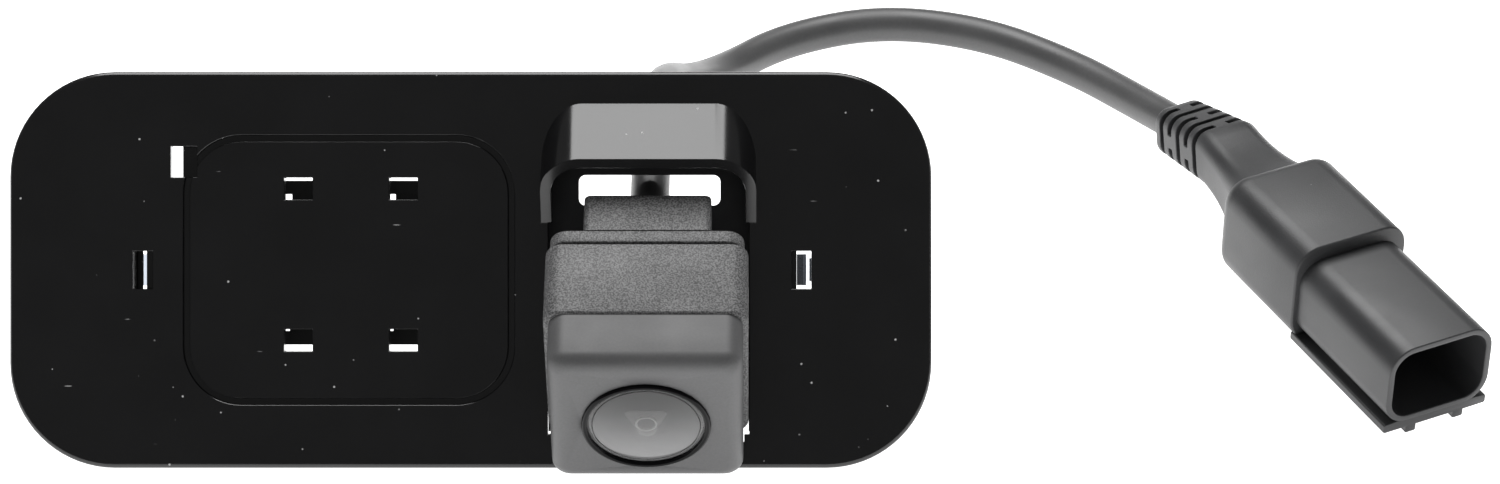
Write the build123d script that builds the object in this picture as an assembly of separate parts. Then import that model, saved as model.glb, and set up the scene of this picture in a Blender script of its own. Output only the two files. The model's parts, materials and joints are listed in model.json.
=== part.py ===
"""Backup camera kit: bezel plate, camera module, spring clips and plug-in lead.

Units are millimetres.  The kit stands as it does on a bench: the plate leans back on its
bottom edge and on the foot of the camera bracket, and the lead lies on the same surface.
+X runs along the plate, -Y is the side the camera looks at, +Z is up.  The origin is under
the middle of the plate-and-camera assembly, on the surface.

Three working frames are used, each with +X to the right:
  plate frame      +Y up the plate, +Z out of its front face, origin at the plate's centre
  camera frame     +Y square to the camera's top, +Z along the lens axis, origin at the lens
  connector frame  +Y up, +Z towards the mating mouth, origin on the bench under the mouth
"""

from build123d import *
import math
import os

# ---------------------------------------------------------------- bezel plate
PLATE_W, PLATE_H, PLATE_R = 116.8, 50.2, 13.3
PLATE_T = 2.2                    # skin thickness
RIM_DEPTH, RIM_WALL = 4.2, 1.8   # rear rim, measured from the front face
EDGE_ROUND = 0.7
RING_X, RING_Y = -15.4, 0.0      # centre of the moulded ring groove
RING_W, RING_H, RING_R = 42.0, 34.2, 7.4
GROOVE_W, GROOVE_D = 0.85, 0.7
WINDOW_W, WINDOW_H = 3.6, 2.8    # hook windows
WINDOW_XS = (-21.8, -8.5)
UPPER_Y, LOWER_Y = 10.3, -8.9
CORNER_X, CORNER_Y, CORNER_W, CORNER_H = -36.3, 13.7, 3.3, 3.9
CORNER_RIB_W = 2.35              # rib behind the corner window's right side
CLIP_XS = (-41.5, 41.9)          # clip windows
CLIP_WINDOW_W, CLIP_WINDOW_H = 2.5, 4.8
BLADE_X = 44.3                   # moulded blades that carry the clips, either side of centre
BLADE_T, BLADE_W, BLADE_LEN = 1.6, 5.6, 8.6
STOP_X, STOP_W, STOP_DEPTH = 40.65, 1.3, 4.6     # ribs that stop the clips' inner legs
LEFT_FOOT_X, LEFT_FOOT_W, LEFT_FOOT_DEPTH = -42.85, 1.7, 4.2     # foot of the left blade

# ---------------------------------------------------------------- stance on the bench
LEAN = 35.5                      # plate leans back from vertical by this many degrees
_lean = math.radians(LEAN)
PLATE_RISE = PLATE_H / 2 * math.cos(_lean) + RIM_DEPTH * math.sin(_lean)
PLATE_FORE = 2.9                 # how far the plate's front centre sits behind the origin

# ---------------------------------------------------------------- hood over the camera
CAM_X = 22.55                    # camera centre along the plate
HOOD_W, HOOD_R, HOOD_WALL = 27.3, 5.2, 1.4
HOOD_TOP = 21.1                  # where the hood's top meets the plate's front face
LIP_Y, LIP_Z = 13.9, 6.3         # top of the lip
LIP_FOOT_Y = 6.0                 # where the sides of the lip run into the plate
OPENING_W, OPENING_LOW = 25.5, -20.8             # camera opening in the plate
RELIEF_W, RELIEF_LOW = 24.2, -21.8               # narrower relief below it for the front shell

# ---------------------------------------------------------------- camera module
TILT = 49.0                      # lens axis below the plate's normal
CAM_Y, CAM_Z = -19.1, 12.5       # lens centre in the plate frame
TOP, BOTTOM = 12.2, -11.0        # camera's top and bottom from the lens axis
CASE_H, CASE_MID = TOP - BOTTOM, (TOP + BOTTOM) / 2
FRONT_W, BODY_W, FLANGE_W = 24.0, 25.3, 24.3
FRONT_END = -7.8                 # joints along the lens axis, going back from the face
BODY_END, FLANGE_END, BOSS_END = -19.0, -21.4, -27.3
BOSS_W, BOSS_H = 16.0, 17.0
CASE_WALL, CASE_R, FACE_T = 1.5, 2.2, 2.2
FACE_ROUND = 1.9
SEAM = 0.4                       # open seam between the body and the rear cap
BEZEL_R, GLASS_R = 8.0, 7.3
POST_X, POST_Y, POST_R = 8.0, 7.0, 1.4           # board posts, about the case's middle
CORNER_PX, CORNER_PY = 10.0, 9.2                 # rear cap screws
BOARD_W, BOARD_H, BOARD_T, BOARD_R = 18.6, 17.6, 1.0, 3.5
SENSOR_BOARD_Z, VIDEO_BOARD_Z = -13.0, -17.0
GLAND_Y = TOP - BOSS_H / 2
GLAND_OUT = 4.0
CORE_XS, CORE_R = (-2.4, -0.8, 0.8, 2.4), 0.5     # wires from the plug to the gland

# ---------------------------------------------------------------- camera bracket
CHEEK_IN, CHEEK_T = BODY_W / 2, 2.0              # the cheeks bear on the camera's sides
WALL_Z, WALL_T = -RIM_DEPTH, 1.8
SLOT_W, SLOT_TOP, SLOT_LOW = 18.1, 12.1, 8.2     # cable slot seen under the hood
SCREW_XS, SCREW_YS = (-17.6, 17.6), (12.5, -17.4)
PIVOT_Y, PIVOT_Z = -8.0, -17.0   # side screws that hold the camera between the cheeks

# ---------------------------------------------------------------- clips and hooks
SHEET_T = 0.5                    # spring steel
SADDLE_W, SADDLE_FRONT = 3.0, -6.5
LEAF_W, LEAF_LEN, LEAF_SPLAY = 4.0, 6.0, 8.0     # splay in degrees
ARM_T, ARM_W, ARM_LEN = 1.2, 4.8, 7.6
CATCH_H = 2.8
ARM_SHIFT = -0.5                 # arms sit this far along the plate from their windows
GAP = 0.3                        # clearance round the pieces that flex or slide

# ---------------------------------------------------------------- lead and connector
CABLE_D = 5.0
HEADING = 64.3                   # connector axis, degrees from +X towards -Y
MOUTH_X, MOUTH_Y = 123.8, 0.5
FOOT_T, RAIL_T = 1.0, 1.3        # ribs under the base rail, and the rail
SHROUD_W, SHROUD_H, SHROUD_R, SHROUD_LEN, SHROUD_WALL = 15.6, 11.7, 3.6, 21.7, 0.9
MOULD_W, MOULD_TOP, MOULD_LEN, MOULD_R = 17.0, 15.7, 19.5, 3.6
NECK_LEN, NECK_W, NECK_H = 8.0, 9.6, 8.0
TAIL_LEN = 5.0                   # the part of the shroud that the overmould grips
CAVITY_LEN = 15.0
PIN_W, PIN_T, PIN_X, PIN_Y = 1.5, 0.7, 2.2, 1.9  # terminals, two rows of two
PIN_OUT = 7.5
AXIS_H = 8.3                     # height of the connector's axis above the bench
BOOT_END = (95.6, 60.2, 6.4)     # where the cable enters the boot
RINGS, RING_PITCH, RING_LEN = 6, 2.25, 1.45      # ribs of the boot

ROUTE = [                        # control points of the cable between gland and boot
    (22.55, 22.5, 28.2),
    (22.9, 36.5, 26.8),
    (24.0, 50.8, 20.4),
    (26.4, 64.3, 11.0),
    (31.2, 76.5, 4.6),
    (40.4, 88.5, 2.6),
    (54.6, 93.7, 2.5),
    (69.6, 90.5, 2.5),
    (82.0, 81.3, 2.6),
    (90.0, 70.7, 3.9),
]
BEND_SHARE = 0.45                # share of the shorter run that each bend takes up

# ---------------------------------------------------------------- working frames
_head = math.radians(HEADING)
STAND = Location((0, PLATE_FORE, PLATE_RISE), (90 - LEAN, 0, 0))
IN_PLATE = Location((CAM_X, CAM_Y, CAM_Z), (TILT, 0, 0))
CAMERA = STAND * IN_PLATE
CONNECTOR = Plane(origin=(MOUTH_X, MOUTH_Y, 0), x_dir=(math.sin(_head), math.cos(_head), 0),
                  z_dir=(math.cos(_head), -math.sin(_head), 0)).location

nodes = {}


def add(name, shape, frame=STAND):
    """Keep a finished piece, or a group of like pieces, placed on the bench."""
    pieces = shape if isinstance(shape, (list, tuple)) else [shape]
    placed = [frame * solid for piece in pieces for solid in piece.solids()]
    nodes[name] = placed[0] if len(placed) == 1 else Compound(children=placed)


def slab(w, h, z0, z1, r=0.0, x=0.0, y=0.0):
    """A w by h block from z0 to z1 with its long edges rounded by r."""
    outline = RectangleRounded(w, h, r) if r else Rectangle(w, h)
    return Pos(x, y, min(z0, z1)) * extrude(outline, abs(z1 - z0))


def frame_ring(w, h, wall, z0, z1, r, x=0.0, y=0.0):
    """A rectangular ring of the given wall thickness."""
    inner_r = max(r - wall, 0.2)
    inner = slab(w - 2 * wall, h - 2 * wall, min(z0, z1) - 1, max(z0, z1) + 1, inner_r, x, y)
    return slab(w, h, z0, z1, r, x, y) - inner


def rod(r, z0, z1, x=0.0, y=0.0):
    """A cylinder of radius r from z0 to z1."""
    base = Pos(x, y, min(z0, z1))
    return base * Cylinder(r, abs(z1 - z0), align=(Align.CENTER, Align.CENTER, Align.MIN))


def turned(outline):
    """Turn a closed outline of (radius, z) points about the Z axis."""
    face = make_face(Polyline(*[(r, 0, z) for r, z in outline], close=True))
    return revolve(face, Axis.Z)


def profile_x(outline, width, x=0.0):
    """Extrude a closed outline of (y, z) points along X, centred on x."""
    face = make_face(Polyline(*[(0, y, z) for y, z in outline], close=True))
    return Pos(x, 0, 0) * extrude(face, width / 2, dir=(1, 0, 0), both=True)


def profile_y(outline, width, y=0.0):
    """Extrude a closed outline of (x, z) points along Y, centred on y."""
    face = make_face(Polyline(*[(x, 0, z) for x, z in outline], close=True))
    return Pos(0, y, 0) * extrude(face, width / 2, dir=(0, 1, 0), both=True)


# ================================================================ bezel plate
def hood_tube(inset):
    """A long rounded tube along the lens axis, inset from the hood's outer surface."""
    tilt = math.radians(TILT)
    top = (HOOD_TOP - CAM_Y) * math.cos(tilt) - CAM_Z * math.sin(tilt) - inset
    height, reach = 60.0, 45.0
    return IN_PLATE * slab(HOOD_W - 2 * inset, height, -reach, reach, HOOD_R - inset,
                           0, top - height / 2)


def face_plate():
    """One moulding: skin, rim, ring groove, windows, hood, clip blades and screw bosses."""
    skin = slab(PLATE_W, PLATE_H, -PLATE_T, 0, PLATE_R)
    skin = fillet(skin.faces().sort_by(Axis.Z)[-1].edges(), EDGE_ROUND)
    plate = skin + frame_ring(PLATE_W, PLATE_H, RIM_WALL, -RIM_DEPTH, -PLATE_T, PLATE_R)
    plate -= frame_ring(RING_W, RING_H, GROOVE_W, -GROOVE_D, 1, RING_R, RING_X, RING_Y)

    under_lip = profile_x([(30, -0.5), (LIP_FOOT_Y, -0.5), (LIP_FOOT_Y, 0),
                           (LIP_Y, LIP_Z), (30, LIP_Z)], HOOD_W + 6, CAM_X)
    plate += hood_tube(0) & under_lip
    inside = profile_x([(4, -9), (4, 20), (30, 20), (30, -9)], HOOD_W + 6, CAM_X)
    plate -= hood_tube(HOOD_WALL) & inside
    opening_h = LIP_FOOT_Y - OPENING_LOW
    plate -= slab(OPENING_W, opening_h, -9, 0.5, 0, CAM_X, OPENING_LOW + opening_h / 2)
    relief_h = OPENING_LOW - RELIEF_LOW + 1
    plate -= slab(RELIEF_W, relief_h, -9, 0.5, 0, CAM_X, RELIEF_LOW + relief_h / 2)

    plate += slab(LEFT_FOOT_W, BLADE_W, -LEFT_FOOT_DEPTH, -PLATE_T, 0, LEFT_FOOT_X, 0)
    for wx in WINDOW_XS:
        for wy in (UPPER_Y, LOWER_Y):
            plate -= slab(WINDOW_W, WINDOW_H, -4, 1, 0, wx, wy)
    plate -= slab(CORNER_W, CORNER_H, -4, 1, 0, CORNER_X, CORNER_Y)
    plate += slab(CORNER_RIB_W, CORNER_H + 1.4, -6.6, -PLATE_T, 0,
                  CORNER_X + CORNER_W / 2 + 0.3 - CORNER_RIB_W / 2, CORNER_Y)
    for side, clip_x in zip((-1, 1), CLIP_XS):
        plate -= slab(CLIP_WINDOW_W, CLIP_WINDOW_H, -4, 1, 0, clip_x, 0)
        plate += slab(STOP_W, BLADE_W, -STOP_DEPTH, -PLATE_T, 0, side * STOP_X, 0)
        plate += slab(BLADE_T, BLADE_W, -PLATE_T - BLADE_LEN, -PLATE_T + 0.3, 0,
                      side * BLADE_X, 0)
    for sx in SCREW_XS:
        for sy in SCREW_YS:
            plate += rod(2.4, -RIM_DEPTH, -PLATE_T + 0.3, CAM_X + sx, sy)
            plate -= rod(0.9, -RIM_DEPTH - 1, -PLATE_T + 0.6, CAM_X + sx, sy)
    return plate


# ================================================================ camera bracket
def foot_z(y):
    """Depth at which a point at height y on the plate frame touches the bench."""
    return -(PLATE_RISE + y * math.cos(_lean)) / math.sin(_lean)


def camera_bracket():
    """Wall with the cable slot, screw ears, and two cheeks that carry the camera."""
    wall = slab(2 * (CHEEK_IN + CHEEK_T), 20.5, WALL_Z - WALL_T, WALL_Z, 1.0, CAM_X, 8.0)
    for sx in SCREW_XS:
        for sy in SCREW_YS:
            wall += slab(8.0, 6.4, WALL_Z - WALL_T, WALL_Z, 2.4,
                         CAM_X + sx * 0.94, sy)
    foot_y = -17.4
    cheek = [(16.0, WALL_Z), (16.0, WALL_Z - 3), (9.0, -14.5), (-4.0, -17.6),
             (foot_y + 1.2, foot_z(foot_y + 1.2)), (foot_y, foot_z(foot_y)), (-20.6, -7.6),
             (-20.6, WALL_Z)]
    for side in (-1, 1):
        wall += profile_x(cheek, CHEEK_T, CAM_X + side * (CHEEK_IN + CHEEK_T / 2))
    slot_h = SLOT_TOP - SLOT_LOW
    wall -= slab(SLOT_W, slot_h, -12, 0, 0.9, CAM_X, SLOT_LOW + slot_h / 2)
    wall -= slab(12.0, 12.0, -12, 0, 0, CAM_X, 3.6)
    wall -= IN_PLATE * slab(BOSS_W + 0.6, BOSS_H + 0.6, BOSS_END - 0.3, 0, 0,
                            0, GLAND_Y)
    wall -= IN_PLATE * slab(2 * CHEEK_IN, CASE_H + 1.0, FLANGE_END - 0.3, 0, 0,
                            0, CASE_MID)
    for sx in SCREW_XS:
        for sy in SCREW_YS:
            wall -= rod(1.2, -12, 0, CAM_X + sx, sy)
    for side in (-1, 1):
        hole = Rot(0, 90, 0) * Cylinder(1.1, 60)
        wall -= IN_PLATE * (Pos(0, PIVOT_Y, PIVOT_Z) * hole)
    return wall


def pan_screw(shank_r, shank_len, head_r, head_t):
    """A pan-head screw: head from z=0 up, shank going down, with a cross recess."""
    screw = rod(shank_r, -shank_len, 0) + turned(
        [(0, 0), (head_r, 0), (head_r, head_t * 0.45), (head_r * 0.6, head_t), (0, head_t)])
    for w, h in ((head_r, head_r * 0.28), (head_r * 0.28, head_r)):
        screw -= slab(w, h, head_t * 0.4, head_t + 1)
    return screw


def bracket_screws():
    """Four screws that hold the bracket on the plate's bosses."""
    back = Rot(180, 0, 0)
    z = WALL_Z - WALL_T
    return [Pos(CAM_X + sx, sy, z) * (back * pan_screw(0.9, WALL_T + 1.4, 1.9, 1.2))
            for sx in SCREW_XS for sy in SCREW_YS]


def camera_screws():
    """Two screws through the cheeks into the camera's sides."""
    reach = CHEEK_IN + CHEEK_T
    return [Pos(side * reach, PIVOT_Y, PIVOT_Z) * (
        Rot(0, side * 90, 0) * pan_screw(0.9, 3.6, 1.8, 1.1)) for side in (-1, 1)]


# ================================================================ clips and hooks
def clip_core(side):
    """The clip's U-shaped saddle, pushed over the moulded blade."""
    x = side * BLADE_X
    tip = -PLATE_T - BLADE_LEN
    outer = slab(BLADE_T + 2 * SHEET_T, SADDLE_W, tip - SHEET_T, SADDLE_FRONT, 0, x, 0)
    return outer - slab(BLADE_T, 8, tip, 0, 0, x, 0)


def leaf_root(side, way):
    """Hinge line of a clip leaf: its x and z in the plate frame."""
    x = side * BLADE_X + side * way * (BLADE_T / 2 + SHEET_T + GAP + SHEET_T / 2)
    return x, -PLATE_T - BLADE_LEN + 0.2


def clip_leaf(side, way):
    """A sprung leg of the clip, splaying away from the blade towards the plate."""
    x, z = leaf_root(side, way)
    run = LEAF_LEN * math.tan(math.radians(LEAF_SPLAY))
    bend = [(-SHEET_T / 2, 0), (SHEET_T / 2, 0), (run + SHEET_T / 2, LEAF_LEN - 1.6),
            (run - 0.7 + SHEET_T / 2, LEAF_LEN), (run - 0.7 - SHEET_T / 2, LEAF_LEN),
            (run - SHEET_T / 2, LEAF_LEN - 1.6)]
    outline = [(x + side * way * px, z + pz) for px, pz in bend]
    return profile_y(outline, LEAF_W) + Pos(x, 0, z) * (
        Rot(90, 0, 0) * Cylinder(SHEET_T / 2, LEAF_W))


def hook_root(row_y, s):
    """Hinge line of a snap hook: its y and z in the plate frame."""
    return row_y - s * (WINDOW_H / 2 + 0.1 + ARM_T / 2), -PLATE_T - GAP


def snap_hook(window_x, row_y, s, reach, notch):
    """A snap hook behind its window; s is +1 where the catch points up the plate."""
    x = window_x + ARM_SHIFT
    y, z = hook_root(row_y, s)
    tip = z - ARM_LEN
    out = row_y + s * reach - y
    edge = s * ARM_T / 2
    outline = [(y - edge, z), (y + edge, z), (y + edge, tip + CATCH_H), (y + out, tip + CATCH_H),
               (y + out, tip + CATCH_H - 0.6), (y + edge, tip), (y - edge, tip)]
    notch_w, notch_h = notch
    cut = slab(notch_w, notch_h, tip - 1, tip + CATCH_H + 1, 0, x - (ARM_W - notch_w) / 2,
               y + edge + s * notch_h / 2)
    return profile_x(outline, ARM_W, x) - cut


# ================================================================ camera case
def front_housing():
    """Smooth front shell with the lens bore, board posts and O-ring collar."""
    shell = slab(FRONT_W, CASE_H, FRONT_END, 0, CASE_R, 0, CASE_MID)
    shell = fillet(shell.faces().sort_by(Axis.Z)[-1].edges(), FACE_ROUND)
    shell -= slab(FRONT_W - 2 * CASE_WALL, CASE_H - 2 * CASE_WALL, FRONT_END - 1, -FACE_T,
                  CASE_R - 0.8, 0, CASE_MID)
    shell += rod(9.6, -6.6, -FACE_T)
    for px in (-POST_X, POST_X):
        for py in (-POST_Y, POST_Y):
            shell += rod(POST_R, SENSOR_BOARD_Z + BOARD_T, -FACE_T, px, CASE_MID + py)
            shell -= rod(0.6, SENSOR_BOARD_Z - 1, -7.4, px, CASE_MID + py)
    shell -= rod(BEZEL_R, -FACE_T, 1)
    shell -= rod(8.8, -3.4, -FACE_T)
    shell -= rod(7.5, -9, -3.4)
    return shell


def mid_housing():
    """Textured body shell, open at both ends, with corner posts for the cap screws."""
    shell = frame_ring(BODY_W, CASE_H + 0.5, CASE_WALL + 0.2, BODY_END, FRONT_END, CASE_R,
                       0, CASE_MID)
    for px in (-CORNER_PX, CORNER_PX):
        for py in (-CORNER_PY, CORNER_PY):
            shell += rod(1.7, BODY_END, -16.2, px, CASE_MID + py)
            shell -= rod(0.7, BODY_END - 1, -16.0, px, CASE_MID + py)
    for side in (-1, 1):
        shell -= Pos(side * 12.0, PIVOT_Y, PIVOT_Z) * (Rot(0, 90, 0) * Cylinder(0.9, 2.0))
    return shell


def case_seal():
    """Moulded gasket inside the joint between the front shell and the body."""
    return frame_ring(FRONT_W - 2 * CASE_WALL - 0.1, CASE_H - 2 * CASE_WALL - 0.1, 0.8,
                      FRONT_END - 1.0, FRONT_END + 1.2, 1.4, 0, CASE_MID)


def rear_cap():
    """Rear cap: a full-width flange and the narrower boss that the cable leaves."""
    cap = slab(FLANGE_W, CASE_H, FLANGE_END, BODY_END - SEAM, CASE_R, 0, CASE_MID)
    cap += slab(BOSS_W, BOSS_H, BOSS_END, FLANGE_END + 0.2, 0.8, 0, GLAND_Y)
    cap -= slab(BOSS_W - 2.8, BOSS_H - 2.8, BOSS_END + 1.7, BODY_END, 0.5, 0, GLAND_Y)
    cap -= rod(2.9, BOSS_END - 1, BOSS_END + 3, 0, GLAND_Y)
    for px in (-CORNER_PX, CORNER_PX):
        for py in (-CORNER_PY, CORNER_PY):
            cap -= rod(0.9, FLANGE_END - 1, BODY_END, px, CASE_MID + py)
            cap -= rod(1.5, FLANGE_END - 1, FLANGE_END + 0.9, px, CASE_MID + py)
    return cap


def cap_seal():
    """Flat gasket between the body and the rear cap, set in from the outside."""
    seal = frame_ring(FLANGE_W - 1.8, CASE_H - 1.8, 2.0, BODY_END - SEAM, BODY_END, 1.6,
                      0, CASE_MID)
    for px in (-CORNER_PX, CORNER_PX):
        for py in (-CORNER_PY, CORNER_PY):
            seal -= rod(1.1, BODY_END - 1, BODY_END + 1, px, CASE_MID + py)
    return seal


def rear_cap_screws():
    """Four screws sunk in the rear cap's corners."""
    back = Rot(180, 0, 0)
    return [Pos(px, CASE_MID + py, FLANGE_END + 0.9) * (back * pan_screw(0.7, 4.3, 1.4, 0.8))
            for px in (-CORNER_PX, CORNER_PX) for py in (-CORNER_PY, CORNER_PY)]


# ================================================================ lens
def lens_bezel():
    """Black ring round the glass, held by its flange behind the front wall."""
    return turned([(GLASS_R, 0.15), (GLASS_R + 0.25, 0.55), (BEZEL_R - 0.15, 0.55),
                   (BEZEL_R, 0.3), (BEZEL_R, -FACE_T), (8.8, -FACE_T), (8.8, -3.3),
                   (GLASS_R, -3.3)])


def cap_of_sphere(rim_r, rim_z, crown_z):
    """Ball whose surface passes through the rim circle and the crown on the lens axis."""
    sag = crown_z - rim_z
    ball_r = (rim_r ** 2 + sag ** 2) / (2 * abs(sag))
    return Pos(0, 0, crown_z - math.copysign(ball_r, sag)) * Sphere(ball_r)


def front_element():
    """Front lens, domed outside and hollow inside."""
    glass = rod(GLASS_R, -2.0, 2.0) & cap_of_sphere(GLASS_R, -0.25, 1.15)
    return glass - (cap_of_sphere(4.4, -2.0, -0.6) & rod(4.4, -4, 0))


def lens_barrel():
    """Stepped barrel that carries the glasses and screws into the holder."""
    return turned([(4.4, -2.0), (GLASS_R, -2.0), (GLASS_R, -4.4), (6.0, -4.4), (6.0, -11.0),
                   (2.6, -11.0), (2.6, -10.3), (3.4, -10.3), (3.4, -6.2), (4.4, -6.2)])


def second_element():
    """Second lens, seated on the barrel's step."""
    return turned([(0, -3.6), (2.2, -3.2), (4.4, -2.6), (4.4, -5.6), (3.0, -5.6), (1.8, -4.9),
                   (0, -4.6)])


def aperture_stop():
    """Thin stop ring between the second and rear lenses."""
    return turned([(0.9, -5.8), (0.9, -6.0), (2.8, -6.2), (4.4, -6.2), (4.4, -5.6),
                   (3.2, -5.6)])


def rear_element():
    """Rear lens, next to the sensor."""
    return turned([(0, -6.4), (1.8, -6.7), (3.4, -7.4), (3.4, -10.3), (2.4, -10.3), (0, -9.6)])


def lens_o_ring():
    """O-ring that seals the barrel in the housing's collar."""
    return Pos(0, 0, -5.2) * Torus(6.75, 0.73)


def lens_holder():
    """Round holder on the sensor board, threaded for the barrel."""
    holder = rod(7.4, SENSOR_BOARD_Z + BOARD_T, -7.0)
    holder -= rod(6.0, -11.0, 0)
    return holder - slab(7.6, 6.6, SENSOR_BOARD_Z, -10)


# ================================================================ boards and wiring
def board(z, x=0.0):
    """A circuit board whose upper face is BOARD_T above z, drilled for its screws."""
    plate = slab(BOARD_W, BOARD_H, z, z + BOARD_T, BOARD_R, x, CASE_MID)
    for px in (-POST_X, POST_X):
        for py in (-POST_Y, POST_Y):
            plate -= rod(0.8, z - 1, z + BOARD_T + 1, px, CASE_MID + py)
    return plate


def board_spacers():
    """Four sleeves that keep the two boards apart."""
    return [rod(1.4, VIDEO_BOARD_Z + BOARD_T, SENSOR_BOARD_Z, px, CASE_MID + py)
            - rod(0.8, VIDEO_BOARD_Z, SENSOR_BOARD_Z + 1, px, CASE_MID + py)
            for px in (-POST_X, POST_X) for py in (-POST_Y, POST_Y)]


def board_screws():
    """Four screws through both boards into the front housing's posts."""
    back = Rot(180, 0, 0)
    return [Pos(px, CASE_MID + py, VIDEO_BOARD_Z) * (back * pan_screw(0.6, 8.6, 1.2, 0.8))
            for px in (-POST_X, POST_X) for py in (-POST_Y, POST_Y)]


def core_wires():
    """Four cores from the plug to the gland."""
    return [rod(CORE_R, -24.6, -22.0, x, GLAND_Y) for x in CORE_XS]


def cable_gland():
    """Moulded gland through the rear cap, gripping the cable outside."""
    gland = turned([(0, -24.6), (3.8, -24.6), (3.8, BOSS_END + 1.7), (2.9, BOSS_END + 1.7),
                    (2.9, BOSS_END), (3.6, BOSS_END), (3.6, BOSS_END - 1.2),
                    (3.0, BOSS_END - GLAND_OUT), (0, BOSS_END - GLAND_OUT)])
    return Pos(0, GLAND_Y, 0) * gland


# ================================================================ cable
def place(frame, x, y, z):
    """A point of a working frame, on the bench."""
    return (frame * Pos(x, y, z)).position


def cable():
    """Round cable: straight runs joined by tangent arcs."""
    start = place(CAMERA, 0, GLAND_Y, BOSS_END - GLAND_OUT)
    points = [start, *(Vector(*p) for p in ROUTE), Vector(*BOOT_END)]
    runs = [b - a for a, b in zip(points, points[1:])]
    radii = []
    for before, after in zip(runs, runs[1:]):
        half_turn = math.radians(before.get_angle(after)) / 2
        radii.append(BEND_SHARE * min(before.length, after.length) / math.tan(half_turn))
    path = FilletPolyline(*points, radius=radii)
    section = Plane(origin=points[0], z_dir=runs[0]) * Circle(CABLE_D / 2)
    body = sweep(section, path=path)
    print("cable bends, mm:", ", ".join(f"{r:.1f}" for r in radii))
    print(f"cable length {path.length:.1f} mm, volume {body.volume:.0f} mm3, "
          f"section x length {math.pi * CABLE_D ** 2 / 4 * path.length:.0f} mm3")
    return body, runs[-1]


# ================================================================ connector
def connector_boot(cable_run):
    """Ribbed strain relief: rings on a core, joined by webs that alternate round it."""
    end = Vector(*BOOT_END)
    along = cable_run.normalized()
    frame = Plane(origin=end, x_dir=along.cross(Vector(0, 0, 1)), z_dir=along).location
    length = (RINGS - 1) * RING_PITCH + RING_LEN
    boot = rod(2.7, 0, length)
    for i in range(RINGS):
        z = i * RING_PITCH
        grow = i / (RINGS - 1)
        w, h = 8.0 + 1.4 * grow, 6.8 + 1.2 * grow
        boot += slab(w, h, z, z + RING_LEN, 2.0)
        if i < RINGS - 1:
            for s in (-1, 1):
                web = (2.2, 1.6, 0, s * (h / 2 - 0.8)) if i % 2 == 0 else (
                    1.6, 1.8, s * (w / 2 - 0.8), 0)
                boot += slab(web[0], web[1], z, z + RING_PITCH + 0.2, 0, web[2], web[3])
    ring = Plane(frame * Pos(0, 0, length)) * RectangleRounded(9.4, 8.0, 2.4)
    seat = Plane(CONNECTOR * Pos(0, AXIS_H, -SHROUD_LEN - MOULD_LEN)) * RectangleRounded(
        11.6, 10.4, 3.2)
    neck = loft([ring, seat])
    return frame * boot + neck


def connector_overmould():
    """Moulded grip round the back of the shroud."""
    height = MOULD_TOP - FOOT_T
    back = -SHROUD_LEN - MOULD_LEN
    mould = slab(MOULD_W, height, back, -SHROUD_LEN, MOULD_R, 0, FOOT_T + height / 2)
    mould = fillet(mould.faces().sort_by(Axis.Z)[0].edges(), 2.4)
    mould -= slab(12.0, 8.6, -SHROUD_LEN - TAIL_LEN, 0, 1.5, 0, AXIS_H)
    for x in (-PIN_X, PIN_X):
        for y in (-PIN_Y, PIN_Y):
            mould -= slab(PIN_W, PIN_T, -SHROUD_LEN - TAIL_LEN - 3, 0, 0, x, AXIS_H + y)
            mould -= rod(CORE_R, back - 1, -SHROUD_LEN, x, AXIS_H + y)
    return mould


def connector_shroud():
    """Mating shroud with its base rail, guide ribs and tail."""
    base = FOOT_T + RAIL_T
    mid = base + SHROUD_H / 2 - 0.3
    shroud = slab(SHROUD_W, SHROUD_H, -SHROUD_LEN, 0, SHROUD_R, 0, mid)
    shroud -= slab(SHROUD_W - 2 * SHROUD_WALL, SHROUD_H - 2 * SHROUD_WALL, -CAVITY_LEN, 1,
                   SHROUD_R - SHROUD_WALL, 0, mid)
    shroud += slab(SHROUD_W, RAIL_T, -SHROUD_LEN, 0, 0.4, 0, FOOT_T + RAIL_T / 2)
    for x in (-3.6, 3.6):
        shroud += slab(1.6, FOOT_T + 0.4, -SHROUD_LEN, 0, 0, x, FOOT_T / 2 + 0.2)
    for side in (-1, 1):
        shroud -= slab(2.2, 0.6, -SHROUD_LEN + 0.8, 1, 0, side * (SHROUD_W / 2 - 0.4), base)
    shroud += slab(12.0, 8.6, -SHROUD_LEN - TAIL_LEN, -SHROUD_LEN + 0.5, 1.5, 0, AXIS_H)
    for x in (-PIN_X, PIN_X):
        for y in (-PIN_Y, PIN_Y):
            shroud -= slab(PIN_W, PIN_T, -SHROUD_LEN - 9, 0, 0, x, AXIS_H + y)
    return shroud


def connector_terminals():
    """Four blades, tapered at the mating end."""
    blades = []
    for x in (-PIN_X, PIN_X):
        for y in (-PIN_Y, PIN_Y):
            blade = slab(PIN_W, PIN_T, -SHROUD_LEN - TAIL_LEN - 3, -PIN_OUT, 0, x, AXIS_H + y)
            ends = blade.faces().sort_by(Axis.Z)[-1].edges()
            blades.append(chamfer(ends, 0.25))
    return blades


def terminal_retainer():
    """Secondary lock: a windowed plate round the blades that slides towards the mouth."""
    plate = slab(SHROUD_W - 2 * SHROUD_WALL - 2 * GAP - 1.2, 7.4, -CAVITY_LEN + 0.05,
                 -CAVITY_LEN + 2.4, 1.6, 0, AXIS_H)
    for x in (-PIN_X, PIN_X):
        for y in (-PIN_Y, PIN_Y):
            plate -= slab(PIN_W + 2 * GAP, PIN_T + 2 * GAP, -20, 0, 0, x, AXIS_H + y)
    return plate


def lead_cores():
    """Four cores from the boot to the terminals, inside the overmould."""
    start = -SHROUD_LEN - TAIL_LEN - 3
    return [rod(CORE_R, -SHROUD_LEN - MOULD_LEN, start, x, AXIS_H + y)
            for x in (-PIN_X, PIN_X) for y in (-PIN_Y, PIN_Y)]


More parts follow.
